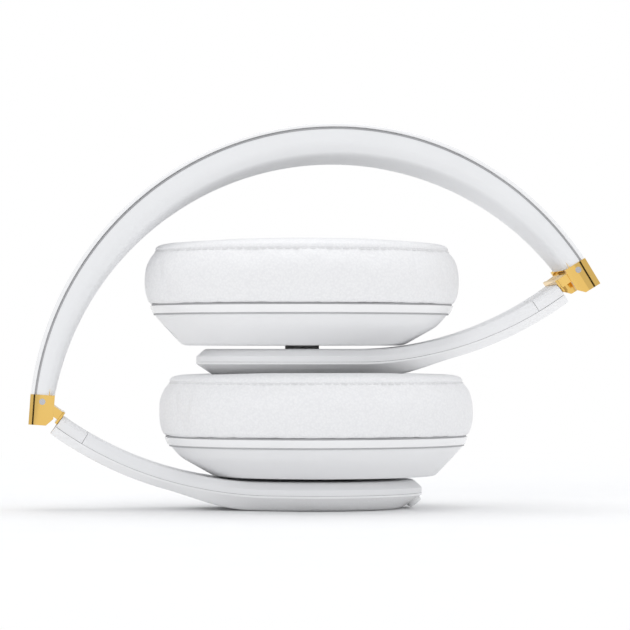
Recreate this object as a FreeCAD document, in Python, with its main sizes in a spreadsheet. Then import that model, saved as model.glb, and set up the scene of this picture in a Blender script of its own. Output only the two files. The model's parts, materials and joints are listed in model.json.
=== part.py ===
import math
import os
import re

import FreeCAD
import Part
import Sketcher
from FreeCAD import Placement, Rotation, Vector

# Folded over-ear headphones, standing on the outer face of the right pod.
#
# Each ear cup is drawn once in a frame of its own: +X runs from the cup's middle to the tip of its pod,
# away from the arm, and Z is the height over the pod's flat outer face. The right cup stands on the floor
# as drawn. The left cup lies on it, half a turn about Z. Both arms rise on an arc about the slide axis and
# end at a fold hinge, and the headband spans the two hinges in a frame of its own: X along the chord
# between the pins, Z towards the crown.

SIZES = [
    # How the folded parts lie.
    ("stack_rise", 38.4, "left pod's outer face over the right pod's"),
    ("stack_shift", 4.2, "left cup's middle beside the right cup's"),
    # Ear cup.
    ("cup_length", 92.3, "cushion, over all"),
    ("cup_width", 75.5, "cushion, over all"),
    ("cushion_base", 21.3, "underside of the cushion"),
    ("cushion_crown", 40.5, "top of the cushion"),
    ("hole_length", 58.0, "ear opening"),
    ("hole_width", 41.0, "ear opening"),
    ("bezel_low", 18.9, "underside of the bezel ring"),
    ("bezel_high", 21.0, "top of the bezel ring"),
    ("bezel_inset", 1.6, "bezel ring inside the cushion's widest line"),
    ("shell_low", 9.5, "floor of the cup shell"),
    ("shell_high", 18.7, "rim of the cup shell"),
    ("shell_inset", 2.8, "shell's rim inside the cushion's widest line"),
    ("shell_wall", 1.8, "cup shell"),
    ("baffle_low", 17.2, "underside of the baffle plate"),
    ("baffle_thick", 1.6, "baffle plate"),
    ("driver_radius", 20.0, "driver frame"),
    ("magnet_radius", 12.0, "driver magnet"),
    ("dome_radius", 16.0, "driver diaphragm"),
    # Pod at the foot of the arm.
    ("pod_length", 60.0, "pod, without the arm"),
    ("pod_width", 48.0, "pod"),
    ("pod_shift", 1.2, "pod's middle towards its tip"),
    ("pod_high", 8.5, "inner side of the pod"),
    ("parting", 4.7, "line between the outer and the inner cover"),
    ("face_length", 47.0, "flat outer face"),
    ("face_width", 35.0, "flat outer face"),
    ("pod_wall", 1.5, "pod covers"),
    # Arm.
    ("slide_reach", 15.45, "slide axis from the cup's middle, towards the hinge"),
    ("arc_radius", 104.1, "parting line of the arm"),
    ("arm_width", 21.0, "arm"),
    ("strip_thick", 2.6, "outer cover of the arm"),
    ("inner_thick", 3.6, "inner cover of the arm"),
    ("rail_thick", 1.2, "slider rail"),
    ("rail_width", 11.0, "slider rail"),
    ("arm_end", 35.85, "angle of the arm's hinge end about the slide axis"),
    ("collar_end", 30.9, "angle of the seam between the collar and the sliding cover"),
    ("rail_end", 9.0, "angle of the rail's tip"),
    ("slack", 0.3, "clearance beside a part that moves"),
    # Fold hinge.
    ("hinge_angle", 40.07, "angle of the hinge pin about the slide axis"),
    ("hinge_radius", 100.75, "hinge pin from the slide axis"),
    ("pin_radius", 0.9, "hinge pin"),
    ("barrel_radius", 1.75, "knuckle barrel"),
    ("bracket_width", 24.0, "gold bracket"),
    ("bracket_thick", 7.0, "gold bracket"),
    ("bracket_wall", 1.5, "gold bracket"),
    ("bracket_drop", 6.8, "bracket below the pin"),
    ("bracket_joint", 1.95, "joint between bracket and headband, above the pin"),
    ("tongue_length", 9.0, "bracket's tongue inside the headband"),
    # Headband.
    ("band_rise", 60.7, "crown over the chord between the pins"),
    ("band_crown", 10.8, "thickness at the crown"),
    ("band_width", 33.0, "width at the crown"),
    ("flare", 17.7, "lean of the headband's ends, outward from square to the chord"),
    ("cover_thick", 1.5, "glossy outer cover"),
    ("frame_thick", 3.2, "plastic frame under the cover"),
    ("steel_thick", 0.8, "spring steel strip"),
    ("steel_width", 12.0, "spring steel strip"),
    # Tilting mount between pod and cup.
    ("gimbal_high", 12.0, "tilt axes over the pod's outer face"),
    ("gimbal_radius", 12.4, "gimbal ring"),
    ("gimbal_wall", 2.6, "gimbal ring"),
    ("post_radius", 5.0, "gimbal post"),
    ("gimbal_pin", 1.0, "radius of the gimbal pins"),
    # Controls and sockets.
    ("button_radius", 9.0, "round button on the left pod"),
    ("rocker_radius", 14.5, "volume ring round the button"),
    ("control_depth", 1.3, "recess of the button and the ring"),
    ("jack_radius", 2.6, "body of the headphone socket"),
    ("jack_bore", 1.75, "bore of the headphone socket"),
    ("jack_length", 12.0, "headphone socket"),
    ("jack_slope", 4.0, "lean of the socket"),
    ("jack_reach", 41.0, "mouth of the socket before it is trimmed, from the cup's middle"),
    ("jack_height", 13.6, "mouth of the socket"),
    ("power_lean", 38.0, "lean of the power button on the pod's chamfer"),
    ("power_reach", 28.6, "middle of the power button"),
    ("power_height", 2.2, "middle of the power button"),
    ("light_radius", 0.3, "charge light pipes"),
    ("light_spacing", 0.85, "charge light pipes"),
    ("light_height", 5.4, "charge light pipes"),
    ("usb_low", 12.7, "charging socket's underside"),
    ("usb_thick", 3.4, "charging socket"),
    ("usb_width", 8.0, "charging socket"),
]
NAMES = {alias for alias, _, _ in SIZES}

doc = FreeCAD.newDocument("headphones")
sheet = doc.addObject("Spreadsheet::Sheet", "sizes")
for row, (alias, value, note) in enumerate(SIZES, start=1):
    sheet.set(f"A{row}", note)
    sheet.set(f"B{row}", str(value))
    sheet.setAlias(f"B{row}", alias)
doc.recompute()

nodes = []


def linked(text):
    """The expression with each size's name pointing at its cell."""
    return re.sub(r"[a-z_]+", lambda word: "sizes." + word[0] if word[0] in NAMES else word[0], str(text))


def number(text):
    return float(sheet.evalExpression(linked(text)))


def bind(thing, **expressions):
    for name, text in expressions.items():
        thing.setExpression(name.replace("__", "."), linked(text))
    return thing


def place(thing, x="0", y="0", z="0"):
    return bind(thing, Placement__Base__x=x, Placement__Base__y=y, Placement__Base__z=z)


def oval(rise, middle, half_length, half_width):
    """An ellipse that starts at its hinge end, so no seam runs through the sockets at the tip."""
    ring = bind(doc.addObject("Part::Ellipse", "oval"), MajorRadius=half_length, MinorRadius=half_width)
    ring.Placement = Placement(Vector(), Rotation(Vector(0, 0, 1), 180))
    return place(ring, x=middle, z=rise)


def tapered(name, *rows):
    """A solid through flat ovals, each given as height, middle, half length and half width."""
    solid = doc.addObject("Part::Loft", name)
    solid.Sections = [oval(*row) for row in rows]
    solid.Solid = True
    solid.Ruled = True
    return solid


def block(name, x, y, z):
    """A box between the two ends given for each axis."""
    box = bind(
        doc.addObject("Part::Box", name),
        Length=f"({x[1]}) - ({x[0]})",
        Width=f"({y[1]}) - ({y[0]})",
        Height=f"({z[1]}) - ({z[0]})",
    )
    return place(box, x[0], y[0], z[0])


def rod(name, radius, ends, x="0", y="0", z="0", axis="z"):
    """A cylinder along one axis, between the two ends given on it."""
    cylinder = bind(doc.addObject("Part::Cylinder", name), Radius=radius, Height=f"({ends[1]}) - ({ends[0]})")
    turns = {"x": Rotation(Vector(0, 1, 0), 90), "y": Rotation(Vector(1, 0, 0), -90), "z": Rotation()}
    cylinder.Placement = Placement(Vector(), turns[axis])
    start = {"x": x, "y": y, "z": z}
    start[axis] = ends[0]
    return place(cylinder, **start)


def cut(name, base, *tools):
    for tool in tools:
        result = doc.addObject("Part::Cut", name)
        result.Base = base
        result.Tool = tool
        base = result
    return base


def fuse(name, *shapes):
    result = doc.addObject("Part::MultiFuse", name)
    result.Shapes = list(shapes)
    result.Refine = True
    return result


def sketch_on(body, role):
    plane = [feature for feature in body.Origin.OriginFeatures if feature.Role == role][0]
    sketch = body.newObject("Sketcher::SketchObject", body.Name + "_outline")
    sketch.AttachmentSupport = (plane, [""])
    sketch.MapMode = "FlatFace"
    return sketch


def pin_down(sketch, piece, point, x, y):
    """Ties one point of a sketch to its place."""
    for kind, text in (("DistanceX", x), ("DistanceY", y)):
        index = sketch.addConstraint(Sketcher.Constraint(kind, -1, 1, piece, point, number(text)))
        sketch.setExpression(f"Constraints[{index}]", linked(text))


def polygon(sketch, corners):
    points = [Vector(number(x), number(y), 0) for x, y in corners]
    for piece, point in enumerate(points):
        sketch.addGeometry(Part.LineSegment(point, points[(piece + 1) % len(points)]), False)
    for piece, (x, y) in enumerate(corners):
        sketch.addConstraint(Sketcher.Constraint("Coincident", piece, 2, (piece + 1) % len(points), 1))
        pin_down(sketch, piece, 1, x, y)


def plate(name, role, corners, thickness):
    """A flat outline made thick, half to each side of its plane."""
    body = doc.addObject("PartDesign::Body", name)
    sketch = sketch_on(body, role)
    polygon(sketch, corners)
    pad = body.newObject("PartDesign::Pad", name + "_pad")
    pad.Profile = sketch
    pad.Midplane = True
    bind(pad, Length=thickness)
    return body


def arc_piece(name, corners, start, end):
    """A section of the arm swept about the slide axis between two angles."""
    body = doc.addObject("PartDesign::Body", name)
    sketch = sketch_on(body, "YZ_Plane")
    polygon(sketch, corners)
    turn = body.newObject("PartDesign::Revolution", name + "_turn")
    turn.Profile = sketch
    turn.ReferenceAxis = (sketch, ["H_Axis"])
    bind(turn, Angle=f"({end}) - ({start})")
    body.Placement = Placement(Vector(), Rotation(Vector(0, 1, 0), number(start)))
    return place(body, x="-slide_reach", z="arc_radius + parting")


def section(half_width, low_radius, high_radius):
    """The corners of a plain rectangular section of the arm."""
    return [
        (f"-({half_width})", f"-({high_radius})"),
        (f"{half_width}", f"-({high_radius})"),
        (f"{half_width}", f"-({low_radius})"),
        (f"-({half_width})", f"-({low_radius})"),
    ]


def moved(thing, frame):
    """The same object, carried from the frame it was drawn in to its place."""
    doc.recompute()
    for axis in "xyz":
        thing.setExpression("Placement.Base." + axis, None)
    thing.Placement = frame.multiply(thing.Placement)
    return thing


def finish(thing, label, frame):
    """Gives a piece its name and its place in the folded headphones."""
    moved(thing, frame)
    for draft in doc.getObjectsByLabel(label):
        draft.Label = label + "_draft"
    thing.Label = label
    nodes.append(thing)


# Where the hinges lie in a cup's own frame, and how the headband leans between them.
HINGE_SINE = math.sin(math.radians(number("hinge_angle")))
HINGE_COSINE = math.cos(math.radians(number("hinge_angle")))
HINGE_X = -number("slide_reach") - number("hinge_radius") * HINGE_SINE
HINGE_Z = number("arc_radius + parting") - number("hinge_radius") * HINGE_COSINE
SPAN_X = -2 * HINGE_X - number("stack_shift")
SPAN_Z = number("stack_rise")
HALF_SPAN = math.hypot(SPAN_X, SPAN_Z) / 2
TILT = math.degrees(math.atan2(SPAN_Z, SPAN_X))

RIGHT_CUP = Placement(Vector(0, 0, 0), Rotation())
LEFT_CUP = Placement(Vector(-number("stack_shift"), 0, SPAN_Z), Rotation(Vector(0, 0, 1), 180))
BAND = Placement(
    Vector(-number("stack_shift") / 2, 0, HINGE_Z + SPAN_Z / 2), Rotation(Vector(0, 1, 0), -TILT)
)


def outer_cover(side):
    """The pod's outer shell and the strip that runs on from it to the hinge."""
    high = "parting"
    pod = tapered(
        "pod_outside",
        ("0", "pod_shift + 0.8", "face_length / 2", "face_width / 2"),
        ("4.1", "pod_shift", "pod_length / 2", "pod_width / 2"),
        (high, "pod_shift", "pod_length / 2", "pod_width / 2"),
    )
    room = tapered(
        "pod_room",
        ("pod_wall", "pod_shift + 0.8", "face_length / 2 - pod_wall / 2", "face_width / 2 - pod_wall / 2"),
        ("4.1", "pod_shift", "pod_length / 2 - pod_wall", "pod_width / 2 - pod_wall"),
        ("parting + 1", "pod_shift", "pod_length / 2 - pod_wall", "pod_width / 2 - pod_wall"),
    )
    strip = arc_piece(
        "strip", section("arm_width / 2", "arc_radius", "arc_radius + strip_thick"), "5.4", "arm_end"
    )
    return fuse("outer_cover_" + side, cut("pod_cup", pod, room), strip)


def inner_cover(side):
    """The pod's inner lid and the channel that the slider rail runs in."""
    lid = tapered(
        "lid",
        ("parting", "pod_shift", "pod_length / 2 - 0.2", "pod_width / 2 - 0.2"),
        ("6.5", "pod_shift", "pod_length / 2 - 0.2", "pod_width / 2 - 0.2"),
        ("pod_high", "pod_shift - 0.4", "pod_length / 2 - 2.4", "pod_width / 2 - 2.4"),
    )
    room = tapered(
        "lid_room",
        ("parting - 1", "pod_shift", "pod_length / 2 - pod_wall", "pod_width / 2 - pod_wall"),
        ("6.0", "pod_shift", "pod_length / 2 - pod_wall", "pod_width / 2 - pod_wall"),
        ("pod_high - pod_wall", "pod_shift - 0.4", "pod_length / 2 - 4", "pod_width / 2 - 4"),
    )
    room_width = "rail_width / 2 + slack"
    room_radius = "arc_radius - 0.4 - rail_thick - 2 * slack"
    channel = [
        ("-arm_width / 2", "-arc_radius"),
        (f"-({room_width})", "-arc_radius"),
        (f"-({room_width})", f"-({room_radius})"),
        (room_width, f"-({room_radius})"),
        (room_width, "-arc_radius"),
        ("arm_width / 2", "-arc_radius"),
        ("arm_width / 2", "inner_thick - arc_radius"),
        ("-arm_width / 2", "inner_thick - arc_radius"),
    ]
    strip_seat = arc_piece(
        "strip_seat",
        section("arm_width / 2 + slack", "arc_radius", "arc_radius + strip_thick + slack"),
        "4.5",
        "collar_end",
    )
    channel_piece = arc_piece("channel", channel, "5.4", "collar_end")
    whole = fuse("lid_and_channel", cut("lid_cup", lid, room), channel_piece)
    return cut("inner_cover_" + side, whole, strip_seat)


def slider(side, frame):
    """The curved steel rail and the short collar that closes the arm at the hinge."""
    high = "arc_radius - 0.4"
    low = "arc_radius - 0.4 - rail_thick"
    rail = arc_piece("rail", section("rail_width / 2", low, high), "rail_end", "arm_end - 0.1")
    collar = arc_piece(
        "collar",
        section("arm_width / 2", "arc_radius - inner_thick", "arc_radius - slack"),
        "collar_end + 0.15",
        "arm_end",
    )
    slot = arc_piece("slot", section("rail_width / 2", low, high), "collar_end", "arm_end - 0.1")
    finish(rail, "slider_rail_" + side, frame)
    finish(cut("collar_" + side, collar, slot), "slider_collar_" + side, frame)


def knuckle(side, frame):
    """The gold knuckle: a barrel on the pin, a ribbed neck and the end plate of the arm."""
    reach = number("hinge_radius") * math.sin(math.radians(number("hinge_angle - arm_end")))
    half = "bracket_width / 2 - bracket_wall - slack"
    barrel = rod("barrel", "barrel_radius", (f"-({half})", half), axis="y")
    neck = block("neck", ("0", f"{reach} - 0.8"), (f"-({half})", half), ("-1.7", "1.0"))
    end_width = ("0.4 - arm_width / 2", "arm_width / 2 - 0.4")
    end = block("end", (f"{reach} - 0.9", f"{reach} - 0.1"), end_width, ("-2.9", "1.2"))
    bore = rod("bore", "pin_radius + 0.05", ("-bracket_width", "bracket_width"), axis="y")
    grooves = [
        block("groove", ("2.2", f"{reach} - 1.4"), (f"{ridge} - 0.5", f"{ridge} + 0.5"), ("0.4", "2"))
        for ridge in (-7.5, -4.5, -1.5, 1.5, 4.5, 7.5)
    ]
    body = cut("knuckle_" + side, fuse("knuckle_blank", barrel, neck, end), bore, *grooves)
    here = Placement(Vector(HINGE_X, 0, HINGE_Z), Rotation(Vector(0, 1, 0), number("arm_end")))
    finish(body, "hinge_knuckle_" + side, frame.multiply(here))


def tilting_mount(side, frame):
    """The post on the pod, the ring round it and the crossed pins that let the cup tilt both ways."""
    low = "gimbal_high - 1.4"
    high = "gimbal_high + 1.4"
    post = rod("post", "post_radius", ("pod_high", "gimbal_high + 1.6"))
    inner_bore = rod("post_bore", "gimbal_pin", ("-20", "20"), z="gimbal_high", axis="x")
    finish(cut("gimbal_post_" + side, post, inner_bore), "gimbal_post_" + side, frame)

    ring = cut(
        "ring",
        rod("ring_outside", "gimbal_radius", (low, high)),
        rod("ring_inside", "gimbal_radius - gimbal_wall", ("0", "20")),
        rod("ring_bore", "gimbal_pin + 0.05", ("-20", "20"), z="gimbal_high", axis="x"),
        rod("ring_bore", "gimbal_pin + 0.05", ("-20", "20"), z="gimbal_high", axis="y"),
    )
    finish(ring, "gimbal_ring_" + side, frame)

    half = "gimbal_radius - 0.2"
    inner_pin = rod("pin", "gimbal_pin", (f"-({half})", half), z="gimbal_high", axis="x")
    finish(inner_pin, "gimbal_inner_pin_" + side, frame)
    near = "gimbal_radius - gimbal_wall + 0.2"
    far = "gimbal_radius + 3.6"
    pins = doc.addObject("Part::Compound", "outer_pins_" + side)
    pins.Links = [
        rod("pin", "gimbal_pin", (f"{near}", far), z="gimbal_high", axis="y"),
        rod("pin", "gimbal_pin", (f"-({far})", f"-({near})"), z="gimbal_high", axis="y"),
    ]
    finish(pins, "gimbal_outer_pins_" + side, frame)


# Half sizes of the shell's rim.
SHELL_A = "cup_length / 2 - shell_inset"
SHELL_B = "cup_width / 2 - shell_inset"


def shell_outline():
    """The faceted outside of the cup shell, as a full solid."""
    return tapered(
        "shell_outside",
        ("shell_low", "2.6", f"{SHELL_A} - 11.8", f"{SHELL_B} - 9.6"),
        ("shell_low + 5.6", "0.3", f"{SHELL_A} - 3.3", f"{SHELL_B} - 2.7"),
        ("shell_high", "0.3", SHELL_A, SHELL_B),
    )


def flush(name, insert):
    """A socket, trimmed to end flush with the outside of the shell."""
    trimmed = doc.addObject("Part::Common", name)
    trimmed.Base = insert
    trimmed.Tool = shell_outline()
    return trimmed


def cup_shell(side, frame, *sockets):
    """The faceted shell under the bezel, with the lugs for the outer gimbal pins."""
    outside = shell_outline()
    inside = tapered(
        "shell_inside",
        ("shell_low + shell_wall", "2.6", f"{SHELL_A} - 12.6", f"{SHELL_B} - 10.4"),
        ("shell_low + 5.8", "0.3", f"{SHELL_A} - 3.3 - shell_wall", f"{SHELL_B} - 2.7 - shell_wall"),
        ("shell_high + 1", "0.3", f"{SHELL_A} - shell_wall", f"{SHELL_B} - shell_wall"),
    )
    opening = rod("opening", "gimbal_radius + 0.7", ("0", "shell_low + 3"))
    near = "gimbal_radius + 0.9"
    lugs = [
        block("lug", ("-3", "3"), (near, f"{near} + 3"), ("shell_low + 0.5", "gimbal_high + 2")),
        block("lug", ("-3", "3"), (f"-({near} + 3)", f"-({near})"), ("shell_low + 0.5", "gimbal_high + 2")),
    ]
    pin_hole = rod("pin_hole", "gimbal_pin", ("-18", "18"), z="gimbal_high", axis="y")
    shell = fuse("shell_blank", cut("shell_open", outside, inside, opening), *lugs)
    finish(cut("cup_shell_" + side, shell, pin_hole, *sockets), "cup_shell_" + side, frame)


def cup_front(side, frame):
    """Bezel ring, baffle plate, driver, cloth and cushion."""
    bezel_a = "cup_length / 2 - bezel_inset"
    bezel_b = "cup_width / 2 - bezel_inset"
    bezel = cut(
        "bezel_ring_" + side,
        tapered(
            "bezel_outside",
            ("bezel_low", "0.1", f"{bezel_a} - 0.7", f"{bezel_b} - 0.7"),
            ("bezel_high", "0", bezel_a, bezel_b),
        ),
        tapered(
            "bezel_inside",
            ("bezel_low - 1", "0", f"{bezel_a} - 4", f"{bezel_b} - 4"),
            ("bezel_high + 1", "0", f"{bezel_a} - 4", f"{bezel_b} - 4"),
        ),
    )
    finish(bezel, "bezel_ring_" + side, frame)

    plate_a = "cup_length / 2 - shell_inset - shell_wall - 1.6"
    plate_b = "cup_width / 2 - shell_inset - shell_wall - 1.6"
    screws = [(x, y) for x in (-25, 25) for y in (-16, 16)]
    baffle = cut(
        "baffle_plate_" + side,
        tapered(
            "baffle_outside",
            ("baffle_low", "0.3", plate_a, plate_b),
            ("baffle_low + baffle_thick", "0.3", plate_a, plate_b),
        ),
        rod("dome_hole", "dome_radius + 0.3", ("0", "50")),
        *[rod("screw_hole", "1.0", ("0", "50"), x=f"{x}", y=f"{y}") for x, y in screws],
    )
    finish(baffle, "baffle_plate_" + side, frame)

    fixings = doc.addObject("Part::Compound", "baffle_screws_" + side)
    top = "baffle_low + baffle_thick"
    fixings.Links = [
        fuse(
            "screw",
            rod("shank", "1.0", ("baffle_low - 3.5", top), x=f"{x}", y=f"{y}"),
            rod("head", "1.9", (top, f"{top} + 1.1"), x=f"{x}", y=f"{y}"),
        )
        for x, y in screws
    ]
    finish(fixings, "baffle_screws_" + side, frame)

    frame_low = "baffle_low - 1.3"
    driver = fuse(
        "driver_" + side,
        rod("basket", "driver_radius", (frame_low, "baffle_low - 0.05")),
        rod("magnet", "magnet_radius", ("gimbal_high + 2.2", frame_low)),
    )
    finish(driver, "driver_" + side, frame)
    dome = rod("dome", "dome_radius", ("baffle_low + 0.05", "baffle_low + 0.9"))
    finish(dome, "driver_diaphragm_" + side, frame)
    cloth_low = "baffle_low + baffle_thick + 1.3"
    cloth = tapered(
        "cloth",
        (cloth_low, "0", "hole_length / 2 + 3", "hole_width / 2 + 3"),
        (f"{cloth_low} + 0.5", "0", "hole_length / 2 + 3", "hole_width / 2 + 3"),
    )
    finish(cloth, "acoustic_cloth_" + side, frame)

    wide_a = "cup_length / 2"
    wide_b = "cup_width / 2"
    cushion = cut(
        "cushion_" + side,
        tapered(
            "cushion_outside",
            ("cushion_base", "0", f"{wide_a} - 1.6", f"{wide_b} - 1.6"),
            ("cushion_base + 3.5", "0", f"{wide_a} - 0.4", f"{wide_b} - 0.4"),
            ("cushion_crown - 10", "0", wide_a, wide_b),
            ("cushion_crown - 3.2", "0", f"{wide_a} - 2.1", f"{wide_b} - 2.1"),
            ("cushion_crown - 1", "0", f"{wide_a} - 4.2", f"{wide_b} - 4.2"),
            ("cushion_crown", "0", f"{wide_a} - 7.5", f"{wide_b} - 7.5"),
        ),
        tapered(
            "ear_opening",
            ("cushion_base - 1", "0", "hole_length / 2 + 1", "hole_width / 2 + 1"),
            ("cushion_crown - 8", "0", "hole_length / 2", "hole_width / 2"),
            ("cushion_crown - 2.6", "0", "hole_length / 2 + 2.2", "hole_width / 2 + 2.2"),
            ("cushion_crown", "0", "hole_length / 2 + 6.6", "hole_width / 2 + 6.6"),
            ("cushion_crown + 1", "0", "hole_length / 2 + 9", "hole_width / 2 + 9"),
        ),
    )
    finish(cushion, "cushion_" + side, frame)


def pod_screws(side, frame):
    """Four small screws that hold the inner cover on the outer one."""
    group = doc.addObject("Part::Compound", "pod_screws_" + side)
    group.Links = [
        rod("screw", "0.9", ("pod_wall", "pod_high - pod_wall - 0.05"), x=f"pod_shift + {x}", y=f"{y}")
        for x in (-16, 16)
        for y in (-9, 9)
    ]
    finish(group, "pod_screws_" + side, frame)


def right_details(frame):
    """Power button and light pipes at the pod's tip, the board behind them and the charging socket."""
    button = fuse(
        "power_button",
        block("cap", ("-4", "4"), ("-2", "2"), ("-1.5", "0.8")),
        rod("end_near", "2", ("-1.5", "0.8"), x="-4"),
        rod("end_far", "2", ("-1.5", "0.8"), x="4"),
    )
    hole = fuse(
        "power_button_hole",
        block("hole", ("-4", "4"), ("-2.15", "2.15"), ("-3.5", "3")),
        rod("hole_end", "2.15", ("-3.5", "3"), x="-4"),
        rod("hole_end", "2.15", ("-3.5", "3"), x="4"),
    )
    # The chamfer's normal points down and away from the cup.
    here = Placement(
        Vector(number("power_reach"), 0, number("power_height")),
        Rotation(Vector(0, 1, 0), 180 - number("power_lean")),
    )
    here = here.multiply(Placement(Vector(), Rotation(Vector(0, 0, 1), 90)))
    hole.Placement = here
    finish(cut("outer_cover", outer_cover("right"), hole), "arm_outer_cover_right", frame)
    finish(button, "power_button", frame.multiply(here))

    tip = "pod_shift + pod_length / 2 - 0.25"
    lights = [
        rod("light", "light_radius", ("26", tip), y=f"{step} * light_spacing", z="light_height", axis="x")
        for step in (-2, -1, 0, 1, 2)
    ]
    slot = block(
        "light_slot",
        ("27", "40"),
        ("-light_spacing * 2 - 0.4", "light_spacing * 2 + 0.4"),
        ("light_height - 0.35", "light_height + 0.35"),
    )
    finish(cut("inner_cover", inner_cover("right"), slot), "arm_inner_cover_right", frame)
    group = doc.addObject("Part::Compound", "light_pipes")
    group.Links = lights
    finish(group, "charge_light_pipes", frame)

    board = block("board", ("-11", "14"), ("-10", "10"), ("3.4", "4.4"))
    finish(board, "main_board", frame)
    socket = cut(
        "usb",
        block(
            "usb_body",
            ("31", "43"),
            ("-usb_width / 2", "usb_width / 2"),
            ("usb_low", "usb_low + usb_thick"),
        ),
        block(
            "usb_mouth",
            ("32.5", "44"),
            ("0.5 - usb_width / 2", "usb_width / 2 - 0.5"),
            ("usb_low + 0.8", "usb_low + usb_thick - 0.7"),
        ),
    )
    finish(flush("usb_flush", socket), "charging_socket", frame)
    return block(
        "usb_hole",
        ("30", "44"),
        ("-usb_width / 2 - 0.05", "usb_width / 2 + 0.05"),
        ("usb_low - 0.05", "usb_low + usb_thick + 0.05"),
    )


def left_details(frame):
    """Round button and volume ring on the pod's face, their board, the battery and the jack socket."""
    recess = rod("recess", "rocker_radius + slack", ("-1", "control_depth + 0.2"))
    stem_hole = rod("stem_hole", "3.2", ("0", "3"))
    finish(cut("outer_cover", outer_cover("left"), recess, stem_hole), "arm_outer_cover_left", frame)
    finish(inner_cover("left"), "arm_inner_cover_left", frame)

    button = fuse(
        "centre_button",
        rod("button_face", "button_radius", ("0.05", "control_depth - 0.5")),
        rod("button_stem", "3", ("control_depth - 0.6", "control_depth + 1.2")),
    )
    finish(button, "centre_button", frame)
    ring = cut(
        "volume_ring",
        rod("ring_face", "rocker_radius", ("0.05", "control_depth - 0.4")),
        rod("ring_hole", "button_radius + slack", ("-1", "3")),
    )
    finish(ring, "volume_ring", frame)
    board = block("board", ("-11", "15"), ("-9", "9"), ("3.4", "4.2"))
    finish(board, "button_board", frame)
    battery_height = ("shell_low + shell_wall + 0.4", "baffle_low - 1.6")
    battery = block("battery", ("-13", "13"), ("16.8", "22.6"), battery_height)
    finish(battery, "battery", frame)

    jack = cut(
        "jack_socket",
        rod("jack_body", "jack_radius", ("-jack_length", "0"), axis="x"),
        rod("jack_hole", "jack_bore", ("-jack_length + 1", "1"), axis="x"),
    )
    mouth = Vector(number("jack_reach"), 0, number("jack_height"))
    here = Placement(mouth, Rotation(Vector(0, 1, 0), number("jack_slope")))
    jack.Placement = here
    finish(flush("jack_flush", jack), "jack_socket", frame)
    hole = rod("jack_opening", "jack_radius + 0.05", ("-jack_length - 1", "9"), axis="x")
    return moved(hole, here)


sockets = {"right": right_details(RIGHT_CUP), "left": left_details(LEFT_CUP)}
for side, frame in (("right", RIGHT_CUP), ("left", LEFT_CUP)):
    slider(side, frame)
    knuckle(side, frame)
    tilting_mount(side, frame)
    cup_shell(side, frame, sockets[side])
    cup_front(side, frame)
    pod_screws(side, frame)


# Headband. Each layer lies between two arcs, given by their depth under the crown and by their place
# across the thickness of the end face.
END_SINE = f"sin({number('flare')} deg)"
END_COSINE = f"cos({number('flare')} deg)"


def end_point(across):
    x = f"{HALF_SPAN} + ({across}) * {END_COSINE} - bracket_joint * {END_SINE}"
    z = f"({across}) * {END_SINE} + bracket_joint * {END_COSINE}"
    return x, z


def band_layer(name, outer, inner, width):
    body = doc.addObject("PartDesign::Body", name)
    sketch = sketch_on(body, "XZ_Plane")
    ends = []
    for depth, across in (outer, inner):
        x, z = end_point(across)
        crown = f"(band_rise - ({depth}))"
        rise = f"({crown} - ({z}))"
        centre = f"{crown} - (({x})^2 + {rise}^2) / (2 * {rise})"
        middle = Vector(0, number(centre), 0)
        right = Vector(number(x), number(z), 0)
        radius = right.distanceToPoint(middle)
        angle = math.atan2(right.y - middle.y, right.x)
        arc = Part.ArcOfCircle(Part.Circle(middle, Vector(0, 0, 1), radius), angle, math.pi - angle)
        piece = sketch.addGeometry(arc, False)
        sketch.addConstraint(Sketcher.Constraint("PointOnObject", piece, 3, -2))
        index = sketch.addConstraint(Sketcher.Constraint("DistanceY", -1, 1, piece, 3, middle.y))
        sketch.setExpression(f"Constraints[{index}]", linked(centre))
        pin_down(sketch, piece, 1, x, z)
        index = sketch.addConstraint(Sketcher.Constraint("DistanceY", -1, 1, piece, 2, right.y))
        sketch.setExpression(f"Constraints[{index}]", linked(z))
        ends.append((right, Vector(-right.x, right.y, 0)))
    for end in (0, 1):
        line = sketch.addGeometry(Part.LineSegment(ends[0][end], ends[1][end]), False)
        sketch.addConstraint(Sketcher.Constraint("Coincident", 0, end + 1, line, 1))
        sketch.addConstraint(Sketcher.Constraint("Coincident", 1, end + 1, line, 2))
    pad = body.newObject("PartDesign::Pad", name + "_pad")
    pad.Profile = sketch
    pad.Midplane = True
    bind(pad, Length=width)
    return body


def narrowed(name, layer):
    """The layer, cut to the plan of the headband: full width round the crown, bracket width at the ends."""
    wide = "band_width / 2"
    narrow = "bracket_width / 2"
    corners = [("-100", f"-{narrow}"), ("-76", f"-{narrow}"), ("-35", f"-{wide}"), ("35", f"-{wide}")]
    corners += [("76", f"-{narrow}"), ("100", f"-{narrow}")]
    corners += [(x, y[1:]) for x, y in reversed(corners)]
    plan = plate("plan", "XY_Plane", corners, "400")
    common = doc.addObject("Part::Common", name)
    common.Base = layer
    common.Tool = plan
    return common


def at_hinge(turn):
    """The frame of one fold hinge: X outward across the end of the band, Z along it towards the crown."""
    flip = Placement(Vector(), Rotation(Vector(0, 0, 1), turn))
    return flip.multiply(Placement(Vector(HALF_SPAN, 0, 0), Rotation(Vector(0, 1, 0), -number("flare"))))


def tongue_room(turn, spare="0"):
    """The room that a bracket's tongue fills in the headband's end, with some to spare round it."""
    half_thick = "bracket_thick / 2 - bracket_wall"
    half_wide = "bracket_width / 2 - bracket_wall + 0.85"
    room = block(
        "tongue_room",
        (f"-0.05 - ({half_thick}) - ({spare})", f"{half_thick} + {spare}"),
        (f"-({half_wide}) - ({spare})", f"{half_wide} + {spare}"),
        ("0", "bracket_joint + tongue_length + 0.1"),
    )
    return moved(room, at_hinge(turn))


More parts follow.
